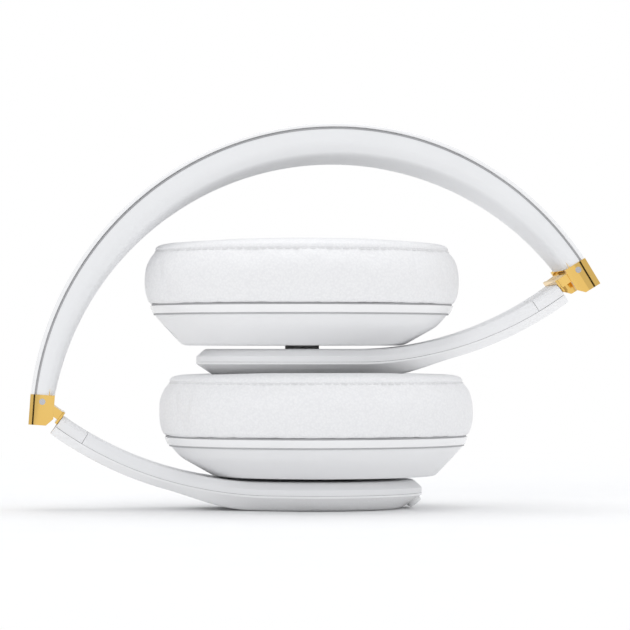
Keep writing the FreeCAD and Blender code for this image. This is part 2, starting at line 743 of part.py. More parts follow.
HALF_END = "bracket_thick / 2"
cover = band_layer("cover", ("0", HALF_END), ("cover_thick", f"{HALF_END} - cover_thick"), "band_width")
cover_solid = cut("headband_cover", narrowed("cover_plan", cover), tongue_room(0), tongue_room(180))
finish(cover_solid, "headband_cover", BAND)

frame_layer = band_layer(
    "frame",
    ("cover_thick + 0.05", f"{HALF_END} - cover_thick - 0.05"),
    ("cover_thick + frame_thick", f"{HALF_END} - cover_thick - frame_thick"),
    "band_width - 3",
)
steel_outer = ("cover_thick + 0.05", f"{HALF_END} - cover_thick - 0.05")
steel_inner = ("cover_thick + 0.05 + steel_thick", f"{HALF_END} - cover_thick - 0.05 - steel_thick")
steel_room = band_layer("steel_room", steel_outer, steel_inner, "steel_width")
frame_plan = narrowed("frame_plan", frame_layer)
frame_solid = cut("headband_frame", frame_plan, steel_room, tongue_room(0), tongue_room(180))
finish(frame_solid, "headband_frame", BAND)
steel = band_layer("steel", steel_outer, steel_inner, "steel_width - 0.1")
steel_cut = cut("headband_spring", steel, tongue_room(0, "3"), tongue_room(180, "3"))
finish(steel_cut, "headband_spring", BAND)

pad_outer = ("cover_thick + frame_thick + slack", f"{HALF_END} - cover_thick - frame_thick - slack")
padding = band_layer("padding", pad_outer, ("band_crown", f"-{HALF_END}"), "band_width - 0.8")
pad_solid = cut("headband_pad", narrowed("pad_plan", padding), tongue_room(0), tongue_room(180))
finish(pad_solid, "headband_pad", BAND)

for side, turn in (("left", 0), ("right", 180)):
    chamfer = "2"
    outline = [
        (f"-{HALF_END}", "bracket_joint"),
        (f"-{HALF_END}", f"{chamfer} - bracket_drop"),
        (f"{chamfer} - {HALF_END}", "-bracket_drop"),
        (HALF_END, "-bracket_drop"),
        (HALF_END, "bracket_joint"),
    ]
    inside = "bracket_width / 2 - bracket_wall"
    bracket = cut(
        "bracket_" + side,
        fuse(
            "bracket_blank",
            plate("channel_outside", "XZ_Plane", outline, "bracket_width"),
            block(
                "tongue",
                (f"bracket_wall - {HALF_END}", f"{HALF_END} - bracket_wall - 0.05"),
                (f"-0.8 - ({inside})", f"({inside}) + 0.8"),
                ("bracket_joint - 0.5", "bracket_joint + tongue_length"),
            ),
        ),
        block(
            "channel_inside",
            (f"-{HALF_END} - 1", f"{HALF_END} - bracket_wall"),
            (f"-({inside})", inside),
            ("-bracket_drop - 1", "bracket_joint"),
        ),
        rod("pin_hole", "pin_radius", ("-bracket_width", "bracket_width"), axis="y"),
    )
    here = BAND.multiply(at_hinge(turn))
    finish(bracket, "hinge_bracket_" + side, here)
    hinge_pin = rod("pin", "pin_radius", ("-bracket_width / 2", "bracket_width / 2"), axis="y")
    finish(hinge_pin, "hinge_pin_" + side, here)

doc.recompute()

# The whole part stands centred over its own footprint.
reach = FreeCAD.BoundBox()
for node in nodes:
    reach.add(node.Shape.optimalBoundingBox(False))
centring = Vector(-reach.Center.x, -reach.Center.y, -reach.ZMin)
for node in nodes:
    node.Placement = Placement(centring, Rotation()).multiply(node.Placement)
doc.recompute()

for thing in doc.Objects:
    if "Invalid" in thing.State or "Error" in thing.State:
        raise ValueError(f"{thing.Name} ({thing.Label}) failed: {thing.State}")
os.makedirs("parts", exist_ok=True)
for node in nodes:
    shape = node.Shape
    if shape.isNull() or not shape.isValid() or not shape.Solids:
        raise ValueError(f"{node.Label} is not a good solid")
    shape.exportStep(f"parts/{node.Label}.step")
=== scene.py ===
import json
import math

import bmesh
import bpy
import numpy as np
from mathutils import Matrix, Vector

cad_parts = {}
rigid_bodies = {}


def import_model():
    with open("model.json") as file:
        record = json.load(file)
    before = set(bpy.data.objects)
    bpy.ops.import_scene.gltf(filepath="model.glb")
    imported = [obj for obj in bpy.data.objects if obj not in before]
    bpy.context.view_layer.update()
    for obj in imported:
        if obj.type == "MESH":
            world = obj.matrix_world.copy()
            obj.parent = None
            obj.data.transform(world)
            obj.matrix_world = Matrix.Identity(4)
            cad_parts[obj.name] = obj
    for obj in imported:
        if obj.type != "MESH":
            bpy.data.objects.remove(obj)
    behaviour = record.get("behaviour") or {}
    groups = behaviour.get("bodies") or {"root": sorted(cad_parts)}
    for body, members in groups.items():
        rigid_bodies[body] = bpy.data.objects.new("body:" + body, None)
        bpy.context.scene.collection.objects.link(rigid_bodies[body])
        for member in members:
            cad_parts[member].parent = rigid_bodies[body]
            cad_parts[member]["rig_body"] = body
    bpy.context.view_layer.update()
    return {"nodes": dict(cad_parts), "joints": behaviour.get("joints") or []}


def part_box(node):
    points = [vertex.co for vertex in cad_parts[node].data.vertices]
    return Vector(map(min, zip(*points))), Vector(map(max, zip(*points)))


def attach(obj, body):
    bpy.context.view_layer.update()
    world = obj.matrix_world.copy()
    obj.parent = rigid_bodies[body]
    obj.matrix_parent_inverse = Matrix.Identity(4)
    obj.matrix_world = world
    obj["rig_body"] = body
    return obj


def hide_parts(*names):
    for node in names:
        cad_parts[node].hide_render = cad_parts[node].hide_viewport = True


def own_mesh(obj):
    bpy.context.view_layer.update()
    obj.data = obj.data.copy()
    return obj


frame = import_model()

scene = bpy.context.scene

# ---------------------------------------------------------------------------------------------------
# Arm covers. A satin white strip, moulded in one piece with the pod's outer shell, clips over a matte
# inner channel. Both bend about the slide axis and widen into the oval pod. A short collar closes the
# channel at the hinge and stays behind when the arm slides out.
SLIDE_REACH = 0.01545
PARTING_RADIUS = 0.1041
PARTING_HEIGHT = 0.0047
ARM_END = math.radians(35.85)
COLLAR_SEAM = math.radians(30.9)
ARM_HALF_WIDTH = 0.0105
POD_MIDDLE, POD_HALF_LENGTH, POD_HALF_WIDTH = 0.0012, 0.030, 0.024
POD_TIP = POD_MIDDLE + POD_HALF_LENGTH

low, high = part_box("cushion_right")
RIGHT_X = (low.x + high.x) / 2
left_low, left_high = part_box("cushion_left")
LEFT_X = (left_low.x + left_high.x) / 2
LEFT_RISE = left_low.z - low.z


def in_place(side, points):
    """Cup points (towards the tip, across, up from the pod's face) as points of the folded headphones."""
    along, across, up = points[..., 0], points[..., 1], points[..., 2]
    if side == "right":
        return np.stack([RIGHT_X + along, across, up], axis=-1)
    return np.stack([LEFT_X - along, -across, LEFT_RISE + up], axis=-1)


def skin(name, grid, body, rows_close=False, caps=True, angle=35):
    """A mesh through a grid of points, closed round its columns and capped at its first and last row."""
    rows, columns = grid.shape[:2]
    index = np.arange(rows * columns).reshape(rows, columns)
    first, last = index[0].tolist(), index[-1].tolist()
    index = np.concatenate([index, index[:, :1]], axis=1)
    if rows_close:
        index = np.concatenate([index, index[:1]], axis=0)
    quads = np.stack([index[:-1, :-1], index[1:, :-1], index[1:, 1:], index[:-1, 1:]], axis=-1)
    faces = quads.reshape(-1, 4).tolist()
    if caps and not rows_close:
        faces += [first[::-1], last]
    mesh = bpy.data.meshes.new(name)
    mesh.from_pydata(grid.reshape(-1, 3).tolist(), [], faces)
    return finished(name, mesh, body, angle)


def finished(name, mesh, body, angle=35):
    """Merges doubled points, turns the faces outward, shades them smooth and rides the piece on its body."""
    work = bmesh.new()
    work.from_mesh(mesh)
    bmesh.ops.remove_doubles(work, verts=work.verts, dist=1e-6)
    bmesh.ops.recalc_face_normals(work, faces=work.faces)
    work.to_mesh(mesh)
    work.free()
    mesh.polygons.foreach_set("use_smooth", np.ones(len(mesh.polygons), bool))
    mesh.set_sharp_from_angle(angle=math.radians(angle))
    piece = bpy.data.objects.new(name, mesh)
    scene.collection.objects.link(piece)
    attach(piece, body)
    return piece


def smooth(value, start, end):
    """0 before start, 1 after end, with a level start and finish."""
    share = np.clip((value - start) / (end - start), 0, 1)
    return share * share * (3 - 2 * share)


def half_width(along):
    """Half the width of arm and pod: level along the arm, a cubic flare, then an ellipse to the tip."""
    flare_start, flare_end = -0.042, -0.012
    reach = np.clip((along - POD_MIDDLE) / POD_HALF_LENGTH, -1, 1)
    oval = POD_HALF_WIDTH * np.sqrt(1 - reach**2)
    joint = (flare_end - POD_MIDDLE) / POD_HALF_LENGTH
    joint_width = POD_HALF_WIDTH * math.sqrt(1 - joint**2)
    joint_slope = -POD_HALF_WIDTH / POD_HALF_LENGTH * joint / math.sqrt(1 - joint**2)
    run = flare_end - flare_start
    share = np.clip((along - flare_start) / run, 0, 1)
    flare = ARM_HALF_WIDTH + (joint_width - ARM_HALF_WIDTH) * (3 * share**2 - 2 * share**3)
    flare += joint_slope * run * (share**3 - share**2)
    return np.where(along < flare_end, flare, oval)


def edge_distance(along, across):
    """How far a point lies inside the outline of arm and pod."""
    straight = half_width(along) - np.abs(across)
    radial = np.hypot((along - POD_MIDDLE) / POD_HALF_LENGTH, across / POD_HALF_WIDTH)
    round_pod = (1 - radial) * np.hypot(along - POD_MIDDLE, across) / np.maximum(radial, 1e-6)
    round_pod = np.where(radial < 0.05, POD_HALF_WIDTH, round_pod)
    share = smooth(along, -0.014, 0.004)
    return np.maximum(straight * (1 - share) + round_pod * share, 0)


def bent(along, across, radius):
    """Straight before the pod, the arm follows a circle about the slide axis."""
    run = np.minimum(along + SLIDE_REACH, 0)
    turn = -run / PARTING_RADIUS
    x = np.where(run < 0, -SLIDE_REACH - radius * np.sin(turn), along)
    up = PARTING_RADIUS + PARTING_HEIGHT - radius * np.where(run < 0, np.cos(turn), 1)
    return np.stack([x, across, up], axis=-1)


def soft_step(share):
    """Rises straight from 0 to 1 and rounds off into the level part, like a chamfer with a soft shoulder."""
    return share - np.maximum(share - 0.82, 0) ** 2 / 0.72 * (share <= 1.18) - (share > 1.18) * (share - 1)


def arm_cover(name, side, start, end, edge, wall, face, bevel, inset=0.0):
    """A cover over the plan of arm and pod. Its section at each place starts at the parting face, climbs
    a short wall at the outline and then a chamfer, whose height follows the distance from the outline."""
    along = start + (end - start) * np.sin(np.linspace(0, math.pi / 2, 130))
    spread = np.sin(np.linspace(-math.pi / 2, math.pi / 2, 61))
    width = np.maximum(half_width(along) - inset, 1e-5)
    across = width[:, None] * spread[None, :]
    place = np.broadcast_to(along[:, None], across.shape)
    depth = edge_distance(place, across)
    top = wall + (face(place) - wall) * np.clip(soft_step(depth / bevel(place)), 0, 1)
    outside = bent(place, across, top)
    back = bent(place, across[:, ::-1], np.full_like(across, edge))
    grid = np.concatenate([outside, back], axis=1)
    return skin(name, in_place(side, grid), "arm_" + side if "collar" not in name else "slider_" + side)


def noise_bump(nodes, links, coordinates, scale, strength, distance, detail=3.0, base=None):
    """A bump node fed by fine noise on the given coordinates."""
    noise = nodes.new("ShaderNodeTexNoise")
    noise.inputs["Scale"].default_value = scale
    noise.inputs["Detail"].default_value = detail
    bump = nodes.new("ShaderNodeBump")
    bump.inputs["Strength"].default_value = strength
    bump.inputs["Distance"].default_value = distance
    links.new(coordinates, noise.inputs["Vector"])
    links.new(noise.outputs["Fac"], bump.inputs["Height"])
    if base is not None:
        links.new(base, bump.inputs["Normal"])
    return noise, bump


def moulded(name, colour, shade, roughness, grain, coat=0.0, metallic=0.0, depth=0.00001):
    """Moulded, plated or painted stock: a fine grain, a faint drift of colour and of gloss."""
    material = bpy.data.materials.new(name)
    material.use_nodes = True
    nodes, links = material.node_tree.nodes, material.node_tree.links
    shader = nodes["Principled BSDF"]
    shader.inputs["Metallic"].default_value = metallic
    shader.inputs["Coat Weight"].default_value = coat
    shader.inputs["Coat Roughness"].default_value = 0.08
    place = nodes.new("ShaderNodeTexCoord").outputs["Object"]
    drift = nodes.new("ShaderNodeTexNoise")
    drift.inputs["Scale"].default_value = 60.0
    ramp = nodes.new("ShaderNodeValToRGB")
    ramp.color_ramp.elements[0].position = 0.3
    ramp.color_ramp.elements[0].color = (*shade, 1)
    ramp.color_ramp.elements[1].position = 0.7
    ramp.color_ramp.elements[1].color = (*colour, 1)
    links.new(place, drift.inputs["Vector"])
    links.new(drift.outputs["Fac"], ramp.inputs["Fac"])
    links.new(ramp.outputs["Color"], shader.inputs["Base Color"])
    fine, bump = noise_bump(nodes, links, place, grain, 0.25, depth)
    spread = nodes.new("ShaderNodeMapRange")
    spread.inputs["To Min"].default_value = roughness * 0.85
    spread.inputs["To Max"].default_value = roughness * 1.15
    links.new(fine.outputs["Fac"], spread.inputs["Value"])
    links.new(spread.outputs["Result"], shader.inputs["Roughness"])
    links.new(bump.outputs["Normal"], shader.inputs["Normal"])
    return material


SATIN_WHITE = moulded("satin_white", (0.90, 0.90, 0.905), (0.885, 0.885, 0.89), 0.26, 2200, coat=0.25)
MATTE_WHITE = moulded("matte_white", (0.87, 0.872, 0.88), (0.855, 0.857, 0.865), 0.48, 3000, depth=0.00002)


def strip_face(along):
    return 0.1067 + (0.1088 - 0.1067) * smooth(along, -0.044, -0.021)


def strip_bevel(along):
    return 0.0016 + 0.0046 * smooth(along, -0.036, -0.014)


def channel_face(along):
    return 0.1005 - 0.0002 * smooth(along, -0.03, -0.015)


def channel_bevel(along):
    return 0.0013 + 0.0013 * smooth(along, -0.036, -0.014)


def carve(piece, cutter):
    """Takes the cutter's solid out of a piece and throws the cutter away."""
    hole = piece.modifiers.new("hole", "BOOLEAN")
    hole.operation = "DIFFERENCE"
    hole.solver = "EXACT"
    hole.object = cutter
    evaluated = piece.evaluated_get(bpy.context.evaluated_depsgraph_get())
    carved = bpy.data.meshes.new_from_object(evaluated)
    piece.modifiers.remove(hole)
    piece.data = carved
    carved.set_sharp_from_angle(angle=math.radians(35))
    bpy.data.objects.remove(cutter)


def plug(outline, start, end, origin, across, normal):
    """A straight plug: an outline of (across, sideways) points carried from start to end along the normal."""
    across, normal, origin = np.array(across), np.array(normal), np.array(origin)
    sideways = np.cross(normal, across)
    flat = outline[:, :1] * across + outline[:, 1:] * sideways
    grid = np.stack([origin + flat + normal * level for level in (start, end)])
    return skin("plug", grid, "arm_right")


TURN = np.linspace(0, 2 * math.pi, 96, endpoint=False)
BUTTON_RECESS, BUTTON_DEPTH = 0.0148, 0.0015
LIGHT_SLOT, LIGHT_HEIGHT, LIGHT_DEPTHS = (0.0021, 0.00035), 0.0054, (0.027, 0.040)
POWER_PLACE, POWER_NORMAL = (0.0286, 0, 0.0022), (0.616, 0, -0.788)
POWER_HALF, POWER_END, POWER_DEPTH = 0.004, 0.00215, 0.0032
HINGE_ALONG = -SLIDE_REACH - ARM_END * PARTING_RADIUS
SEAM_ALONG = -SLIDE_REACH - COLLAR_SEAM * PARTING_RADIUS
for side in ("right", "left"):
    strip = arm_cover(
        "arm_strip_" + side, side, HINGE_ALONG, POD_TIP, 0.10412, 0.1047, strip_face, strip_bevel
    )
    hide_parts("arm_outer_cover_" + side)
    channel = arm_cover(
        "arm_channel_" + side, side, SEAM_ALONG, POD_TIP, 0.10405, 0.1026, channel_face, channel_bevel, 0.0002
    )
    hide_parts("arm_inner_cover_" + side)
    collar = arm_cover(
        "arm_collar_" + side,
        side,
        HINGE_ALONG,
        SEAM_ALONG - 0.0001,
        0.10402,
        0.1018,
        channel_face,
        channel_bevel,
        0.0002,
    )
    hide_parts("slider_collar_" + side)
    strip.data.materials.append(SATIN_WHITE)
    for piece in (channel, collar):
        piece.data.materials.append(MATTE_WHITE)
    if side == "left":
        disc = np.stack([np.cos(TURN), np.sin(TURN)], axis=1) * BUTTON_RECESS
        carve(strip, plug(disc, -0.002, BUTTON_DEPTH, (LEFT_X, 0, LEFT_RISE), (1, 0, 0), (0, 0, 1)))
        continue
    slot_shape = np.stack([np.cos(TURN), np.sin(TURN)], axis=1) * POWER_END
    slot_shape[:, 0] += np.where(slot_shape[:, 0] > 0, POWER_HALF, -POWER_HALF)
    middle = (RIGHT_X + POWER_PLACE[0], 0, POWER_PLACE[2])
    lights = np.array([(-1, -1), (1, -1), (1, 1), (-1, 1)]) * LIGHT_SLOT
    carve(channel, plug(lights, *LIGHT_DEPTHS, (RIGHT_X, 0, LIGHT_HEIGHT), (0, 1, 0), (1, 0, 0)))
    for piece in (strip, channel):
        carve(piece, plug(slot_shape, -POWER_DEPTH, 0.003, middle, (0, 1, 0), POWER_NORMAL))

# ---------------------------------------------------------------------------------------------------
# Cup shells. Each is one matte white moulding: an oval bowl with a sloping wall, a soft knuckle line
# half way up and a rim that the bezel ring sits on.
CUP_HALF_LENGTH, CUP_HALF_WIDTH = 0.04615, 0.03775
SHELL_EDGE = 0.0014
USB_WIDTH, USB_THICK, USB_HEIGHT = 0.0081, 0.0035, 0.0144
USB_DEPTHS = (0.030, 0.047)
JACK_DEPTHS = (-0.014, 0.004)
JACK_RADIUS, JACK_REACH, JACK_HEIGHT, JACK_LEAN = 0.00265, 0.0410, 0.0136, math.radians(4)


def oval_rings(rows, count=192):
    """Ovals at several heights. Each row gives the height, the shift of the middle towards the tip and
    the distance inside the cushion's widest line, and the outline is offset square to the ellipse."""
    angle = np.linspace(0, 2 * math.pi, count, endpoint=False)
    rows = np.asarray(rows)
    normal = np.stack([np.cos(angle) / CUP_HALF_LENGTH, np.sin(angle) / CUP_HALF_WIDTH], axis=-1)
    normal /= np.linalg.norm(normal, axis=-1, keepdims=True)
    oval = np.stack([CUP_HALF_LENGTH * np.cos(angle), CUP_HALF_WIDTH * np.sin(angle)], axis=-1)
    flat = oval[None] - rows[:, 2, None, None] * normal[None]
    along = flat[..., 0] + rows[:, 1, None]
    up = np.broadcast_to(rows[:, 0, None], along.shape)
    return np.stack([along, flat[..., 1], up], axis=-1)


def rounded(points, radius, steps=5):
    """A path through the points, each inner corner rounded by a quadratic curve of about that radius."""
    points = [np.asarray(point, float) for point in points]
    path = [points[0]]
    for before, corner, after in zip(points, points[1:], points[2:]):
        back = before - corner
        forth = after - corner
        reach_back = min(radius, 0.45 * np.hypot(back[0], back[2]))
        reach_forth = min(radius, 0.45 * np.hypot(forth[0], forth[2]))
        enter = corner + back / max(np.hypot(back[0], back[2]), 1e-9) * reach_back
        leave = corner + forth / max(np.hypot(forth[0], forth[2]), 1e-9) * reach_forth
        for share in np.linspace(0, 1, steps):
            path.append((1 - share) ** 2 * enter + 2 * share * (1 - share) * corner + share**2 * leave)
    return np.array(path + [points[-1]])


SHELL_PROFILE = [
    (0.0110, 0.0026, 0.0300),
    (0.0095, 0.0026, 0.0300),
    (0.0095, 0.0026, 0.0136),
    (0.0151, 0.0003, 0.0060),
    (0.0187, 0.0003, 0.0028),
    (0.0187, 0.0003, 0.0046),
    (0.0150, 0.0003, 0.0085),
    (0.0110, 0.0026, 0.0160),
    (0.0110, 0.0026, 0.0300),
]
for side in ("right", "left"):
    rings = in_place(side, oval_rings(rounded(SHELL_PROFILE, SHELL_EDGE)))
    shell = skin("cup_bowl_" + side, rings, "cup_" + side, caps=False)
    shell.data.materials.append(MATTE_WHITE)
    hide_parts("cup_shell_" + side)
    if side == "right":
        mouth = np.array([(-1, -1), (1, -1), (1, 1), (-1, 1)]) * (USB_WIDTH / 2, USB_THICK / 2)
        carve(shell, plug(mouth, *USB_DEPTHS, (RIGHT_X, 0, USB_HEIGHT), (0, 1, 0), (1, 0, 0)))
    else:
        disc = np.stack([np.cos(TURN), np.sin(TURN)], axis=1) * JACK_RADIUS
        place = (LEFT_X - JACK_REACH, 0, LEFT_RISE + JACK_HEIGHT)
        outward = (-math.cos(JACK_LEAN), 0, -math.sin(JACK_LEAN))
        carve(shell, plug(disc, *JACK_DEPTHS, place, (0, 1, 0), outward))

# ---------------------------------------------------------------------------------------------------
# Bezel rings. A separate satin ring, snapped between the shell and the cushion with a fine dark groove
# above and below it. A grey ring behind it closes both grooves; its grey is painted shade that makes the
# grooves read dark.
BEZEL_PROFILE = [
    (0.0200, 0, 0.0050),
    (0.01885, 0.0001, 0.0050),
    (0.01885, 0.0001, 0.0023),
    (0.02115, 0, 0.0014),
    (0.02115, 0, 0.0050),
    (0.0200, 0, 0.0050),
]
BEZEL_EDGE = 0.0003
SHADE_RING_PROFILE = [
    (0.0184, 0.0002, 0.0050),
    (0.0184, 0.0002, 0.0027),
    (0.0216, 0, 0.0018),
    (0.0216, 0, 0.0050),
]
# Painted shade: a grey that stands in for the shade inside the bezel grooves and the headband's parting line.
PAINTED_GROOVE_SHADE = moulded("gasket_grey", (0.45, 0.45, 0.46), (0.40, 0.40, 0.41), 0.7, 1500)
for side in ("right", "left"):
    rings = oval_rings(rounded(BEZEL_PROFILE, BEZEL_EDGE))
    bezel = skin("bezel_band_" + side, in_place(side, rings), "cup_" + side)
    bezel.data.materials.append(SATIN_WHITE)
    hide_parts("bezel_ring_" + side)
    # The grey ring closes the grooves behind the bezel; its grey is painted shade.
    rings = oval_rings(SHADE_RING_PROFILE + SHADE_RING_PROFILE[:1])
    shade_ring = skin("gasket_" + side, in_place(side, rings), "cup_" + side, caps=False)
    shade_ring.data.materials.append(PAINTED_GROOVE_SHADE)

# ---------------------------------------------------------------------------------------------------
# Ear cushions. Soft foam rings in white leatherette: a tall side panel, a stitched seam pulled in near
# the top, and a top panel that rolls over into the ear opening. The skin is blown up as cloth between
# the seam and the base, so each panel crowns and creases as it does when it is stuffed.
CUSHION_PROFILE = [
    (0.0213, 0, 0.0160),
    (0.0213, 0, 0.0016),
    (0.0222, 0, 0.0010),
    (0.0240, 0, 0.0008),
    (0.0262, 0, 0.0006),
    (0.0285, 0, 0.0005),
    (0.0308, 0, 0.0005),
    (0.0330, 0, 0.0008),
    (0.0350, 0, 0.0015),
    (0.0364, 0, 0.0024),
    (0.0372, 0, 0.0033),
    (0.0379, 0, 0.0032),
    (0.0388, 0, 0.0039),
    (0.0396, 0, 0.0056),
    (0.0400, 0, 0.0080),
    (0.0399, 0, 0.0105),
    (0.0391, 0, 0.0128),
    (0.0374, 0, 0.0147),
    (0.0350, 0, 0.0160),
    (0.0320, 0, 0.0166),
    (0.0285, 0, 0.0167),
    (0.0250, 0, 0.0165),
    (0.0226, 0, 0.0162),
]
SEAM_ROW = 10
CUSHION_RINGS = 240
SWELL_LIMIT = 0.0009


def blown_up(name, grid, held_rows):
    """Cloth with air pressure, held along some rows of its grid; its points move by the limit at most."""
    rows, columns = grid.shape[:2]
    piece = skin(name, grid, "cup_right", rows_close=True)
    start = np.empty(len(piece.data.vertices) * 3)
    piece.data.vertices.foreach_get("co", start)
    held = piece.vertex_groups.new(name="held")
    fixed = [row * columns + column for row in held_rows for column in range(columns)]
    held.add(fixed, 1.0, "REPLACE")
    cloth = piece.modifiers.new("stuffing", "CLOTH")
    cloth.settings.quality = 6
    cloth.settings.mass = 0.15
    cloth.settings.use_pressure = True
    cloth.settings.uniform_pressure_force = 4.0
    cloth.settings.shrink_min = -0.035
    cloth.settings.tension_stiffness = 12
    cloth.settings.compression_stiffness = 12
    cloth.settings.shear_stiffness = 6
    cloth.settings.bending_stiffness = 0.02
    cloth.settings.vertex_group_mass = "held"
    cloth.settings.effector_weights.gravity = 0
    for moment in range(1, 21):
        scene.frame_set(moment)
    evaluated = piece.evaluated_get(bpy.context.evaluated_depsgraph_get())
    end = np.empty_like(start)
    evaluated.data.vertices.foreach_get("co", end)
    piece.modifiers.remove(cloth)
    piece.vertex_groups.remove(held)
    scene.frame_set(1)
    move = (end - start).reshape(-1, 3)
    length = np.linalg.norm(move, axis=1, keepdims=True)
    move *= SWELL_LIMIT * np.tanh(length / SWELL_LIMIT) / np.maximum(length, 1e-9)
    piece.data.vertices.foreach_set("co", start + move.ravel())
    return piece


def leatherette(name):
    """White leatherette: rounded pebbles of half a millimetre, finer pores and long soft creases; the
    grooves between the pebbles are darkened with painted shade.
    """
    material = bpy.data.materials.new(name)
    material.use_nodes = True
    nodes, links = material.node_tree.nodes, material.node_tree.links
    shader = nodes["Principled BSDF"]
    shader.inputs["Roughness"].default_value = 0.52
    shader.inputs["Sheen Weight"].default_value = 0.15
    place = nodes.new("ShaderNodeTexCoord").outputs["Object"]
    _, crease = noise_bump(nodes, links, place, 160, 0.5, 0.00035, detail=4.0)
    pebbles = nodes.new("ShaderNodeTexVoronoi")
    pebbles.feature = "SMOOTH_F1"
    pebbles.inputs["Scale"].default_value = 1500
    pebbles.inputs["Smoothness"].default_value = 0.6
    grain = nodes.new("ShaderNodeBump")
    grain.invert = True
    grain.inputs["Strength"].default_value = 0.55
    grain.inputs["Distance"].default_value = 0.00012
    links.new(place, pebbles.inputs["Vector"])
    links.new(pebbles.outputs["Distance"], grain.inputs["Height"])
    links.new(crease.outputs["Normal"], grain.inputs["Normal"])
    _, pores = noise_bump(nodes, links, place, 5200, 0.25, 0.00003, base=grain.outputs["Normal"])
    links.new(pores.outputs["Normal"], shader.inputs["Normal"])
    # Painted shade: the colour darkens towards the grooves between the pebbles.
    pebble_groove_shade = nodes.new("ShaderNodeValToRGB")
    pebble_groove_shade.color_ramp.elements[0].position = 0.05
    pebble_groove_shade.color_ramp.elements[0].color = (0.90, 0.90, 0.905, 1)
    pebble_groove_shade.color_ramp.elements[1].position = 0.7
    pebble_groove_shade.color_ramp.elements[1].color = (0.84, 0.84, 0.85, 1)
    links.new(pebbles.outputs["Distance"], pebble_groove_shade.inputs["Fac"])
    links.new(pebble_groove_shade.outputs["Color"], shader.inputs["Base Color"])
    return material


LEATHERETTE = leatherette("leatherette")
pad_grid = in_place("right", oval_rings(CUSHION_PROFILE, CUSHION_RINGS))
pad = blown_up("ear_pad_right", pad_grid, (0, 1, SEAM_ROW))
finer = pad.modifiers.new("finer", "SUBSURF")
finer.levels = 1
finer.render_levels = 1
turned = pad.data.copy()
points = np.empty(len(turned.vertices) * 3)
turned.vertices.foreach_get("co", points)
points = points.reshape(-1, 3) * (-1, -1, 1) + (RIGHT_X + LEFT_X, 0, LEFT_RISE)
turned.vertices.foreach_set("co", points.ravel())
other = bpy.data.objects.new("ear_pad_left", turned)
scene.collection.objects.link(other)
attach(other, "cup_left")
finer = other.modifiers.new("finer", "SUBSURF")
finer.levels = 1
finer.render_levels = 1
for side, piece in (("right", pad), ("left", other)):
    piece.data.materials.append(LEATHERETTE)
    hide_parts("cushion_" + side)
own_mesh(pad)

# ---------------------------------------------------------------------------------------------------
# Stitches. White thread, sewn through the side panel just under the seam of each cushion.
STITCHES = 116
STITCH_LENGTH, STITCH_RADIUS = 0.0019, 0.00018
THREAD = moulded("thread", (0.84, 0.84, 0.845), (0.78, 0.78, 0.785), 0.6, 5200, depth=0.00003)


def stitches(side):
    """Short rounded threads laid end to end along the cushion's seam, with a small gap between them."""
    ring = oval_rings([(0.0369, 0, 0.00285)], STITCHES)[0]
    along = np.roll(ring, -1, axis=0) - np.roll(ring, 1, axis=0)
    along /= np.linalg.norm(along, axis=1, keepdims=True)
    up = np.array([0, 0, 1.0])
    out = np.cross(along, up)
    turn = np.linspace(0, 2 * math.pi, 8, endpoint=False)
    lengths = np.array([-0.5, -0.42, -0.2, 0.2, 0.42, 0.5]) * STITCH_LENGTH
    radii = np.array([0.15, 0.7, 1.0, 1.0, 0.7, 0.15]) * STITCH_RADIUS
    round_part = np.cos(turn)[None, :, None] * out[:, None, :] + np.sin(turn)[None, :, None] * up
    points = (
        ring[:, None, None, :]
        + lengths[None, :, None, None] * along[:, None, None, :]
        + radii[None, :, None, None] * round_part[:, None, :, :]
    )
    index = np.arange(STITCHES * 48).reshape(STITCHES, 6, 8)
    wrapped = np.concatenate([index, index[:, :, :1]], axis=2)
    quads = np.stack(
        [wrapped[:, :-1, :-1], wrapped[:, 1:, :-1], wrapped[:, 1:, 1:], wrapped[:, :-1, 1:]], axis=-1
    )
    faces = quads.reshape(-1, 4).tolist() + index[:, 0, ::-1].tolist() + index[:, -1].tolist()
    mesh = bpy.data.meshes.new("stitches_" + side)
    mesh.from_pydata(in_place(side, points.reshape(-1, 3)).tolist(), [], faces)
    return finished("stitches_" + side, mesh, "cup_" + side, 60)


for side in ("right", "left"):
    thread = stitches(side)
    thread.data.materials.append(THREAD)
    if side == "right":
        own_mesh(thread)

# ---------------------------------------------------------------------------------------------------
# Headband. A glossy white strip runs from hinge to hinge over a soft-touch padded underside; a parting
# line shows between them, darkened by a grey strip of painted shade. Both follow circles, wide at the
# crown and narrow at the brackets.
hinge_right = [joint for joint in frame["joints"] if joint["name"] == "fold_right"][0]["pos_m"]
hinge_left = [joint for joint in frame["joints"] if joint["name"] == "fold_left"][0]["pos_m"]
CHORD = (hinge_left[0] - hinge_right[0], hinge_left[2] - hinge_right[2])
HALF_SPAN = math.hypot(*CHORD) / 2
TILT = math.atan2(CHORD[1], CHORD[0])
CHORD_MIDDLE = ((hinge_left[0] + hinge_right[0]) / 2, (hinge_left[2] + hinge_right[2]) / 2)
FLARE = math.radians(17.7)
BAND_RISE = 0.0607
JOINT_LINE = 0.00195
BAND_HALF_WIDTH, END_HALF_WIDTH = 0.0165, 0.0119


def band_place(share, depth, across_end, across):
    """A point of the headband: share runs from -1 at the right hinge to 1 at the left one along the
    circle that lies that deep under the crown and that far across the thickness of the end face."""
    end_x = HALF_SPAN + across_end * math.cos(FLARE) - JOINT_LINE * math.sin(FLARE)
    end_z = across_end * math.sin(FLARE) + JOINT_LINE * math.cos(FLARE)
    crown = BAND_RISE - depth
    drop = crown - end_z
    radius = (end_x**2 + drop**2) / (2 * drop)
    angle = np.arcsin(np.clip(end_x / radius, -1, 1)) * share
    x = radius * np.sin(angle)
    z = crown - radius * (1 - np.cos(angle))
    return np.stack(
        [
            CHORD_MIDDLE[0] + x * math.cos(TILT) - z * math.sin(TILT),
            across,
            CHORD_MIDDLE[1] + x * math.sin(TILT) + z * math.cos(TILT),
        ],
        axis=-1,
    )


